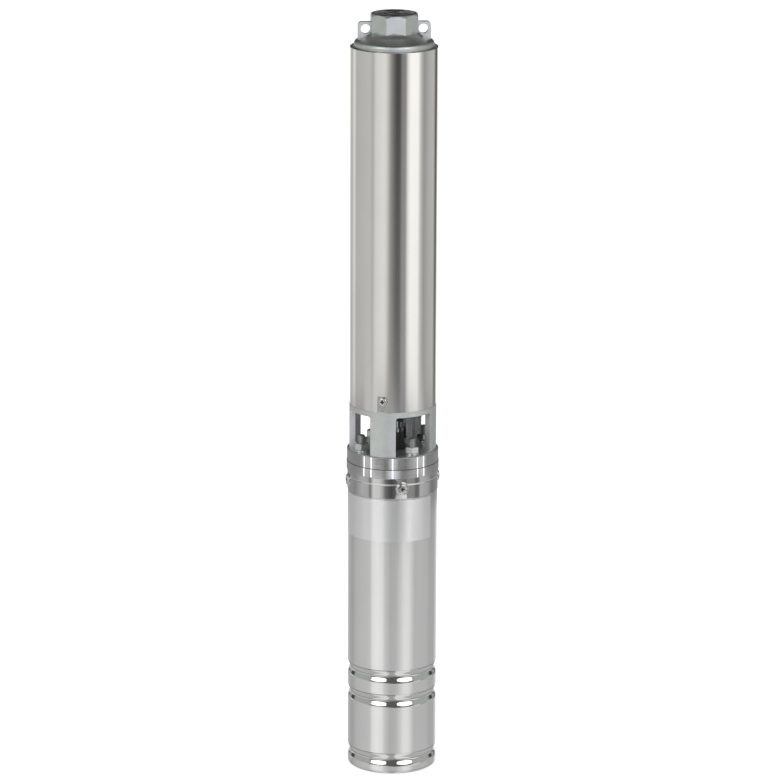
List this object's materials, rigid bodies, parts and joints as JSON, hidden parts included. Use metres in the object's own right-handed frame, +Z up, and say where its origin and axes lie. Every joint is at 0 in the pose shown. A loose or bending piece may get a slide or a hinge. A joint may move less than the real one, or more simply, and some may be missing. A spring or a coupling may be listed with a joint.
{
  "type": "borehole submersible pump",
  "caption": "Slim stainless borehole pump: motor in a rolled shell below, open suction lantern with a visible shaft coupling, jacketed stages and a threaded head with lifting ears.",
  "frame": {"origin": "the middle of the motor's foot, on the pump's axis, where it stands", "axes": "+Z up along the pump's axis from the motor's foot to the outlet; the lifting ears lie along X; the front, as in the picture, faces -Y"},
  "size_m": [0.0988, 0.1005, 0.8],
  "materials": {
    "shell_steel": "polished stainless tube",
    "cast_steel": "satin cast stainless",
    "turned_steel": "turned stainless",
    "shaft_steel": "ground stainless",
    "fastener_steel": "bright stainless",
    "spring_steel": "drawn wire",
    "guard_steel": "pressed stainless sheet",
    "plate_foil": "bare satin foil",
    "black_rubber": "moulded rubber",
    "carbon": "machined carbon",
    "stage_plastic": "moulded glass-filled",
    "laminations": "stacked sheet steel",
    "winding_copper": "enamelled copper wire",
    "cage_metal": "cast"
  },
  "bodies": {
    "pump_body": {"bottom_cover": "turned_steel", "cable_guard": "guard_steel", "cable_socket": "black_rubber", "delivery_head": "cast_steel", "diaphragm": "black_rubber", "diffuser_1": "stage_plastic", "diffuser_2": "stage_plastic", "diffuser_3": "stage_plastic", "diffuser_4": "stage_plastic", "diffuser_5": "stage_plastic", "diffuser_6": "stage_plastic", "diffuser_7": "stage_plastic", "head_seal": "black_rubber", "inlet_holder": "cast_steel", "jacket_screws": "fastener_steel", "lower_bracket": "turned_steel", "lower_bush": "black_rubber", "lower_motor_bush": "carbon", "motor_bracket": "turned_steel", "motor_shell": "shell_steel", "motor_studs": "fastener_steel", "nameplate": "plate_foil", "outer_jacket": "shell_steel", "outlet_holder": "cast_steel", "screw_washers": "fastener_steel", "shaft_seal": "black_rubber", "shell_screws": "fastener_steel", "stator_core": "laminations", "stator_windings": "winding_copper", "stud_nuts": "fastener_steel", "stud_washers": "fastener_steel", "suction_lantern": "cast_steel", "thrust_carrier": "turned_steel", "thrust_pads": "carbon", "upper_bush": "black_rubber", "upper_motor_bush": "carbon", "valve_guide": "cast_steel", "valve_seat": "cast_steel", "valve_spring": "spring_steel"},
    "rotor": {"motor_shaft": "shaft_steel", "rotor_core": "laminations", "rotor_cage": "cage_metal", "thrust_disc": "shaft_steel", "sand_slinger": "black_rubber", "shaft_coupling": "shaft_steel", "pump_shaft": "shaft_steel", "lower_sleeve": "shaft_steel", "upper_sleeve": "shaft_steel", "shaft_nut": "shaft_steel", "impeller_1": "stage_plastic", "impeller_2": "stage_plastic", "impeller_3": "stage_plastic", "impeller_4": "stage_plastic", "impeller_5": "stage_plastic", "impeller_6": "stage_plastic", "impeller_7": "stage_plastic"},
    "check_valve": {"valve_poppet": "shaft_steel", "valve_seal": "black_rubber"}
  },
  "joints": [
    {"name": "rotor_spin", "type": "hinge", "parent": "pump_body", "child": "rotor", "pos_m": [0, 0, 0], "axis": [0, 0, 1], "continuous": true},
    {"name": "valve_lift", "type": "slide", "parent": "pump_body", "child": "check_valve", "axis": [0, 0, 1], "range_m": [0, 0.008], "stiffness_N_per_m": 100, "springref_m": -0.01, "deforming": ["valve_spring"]}
  ]
}
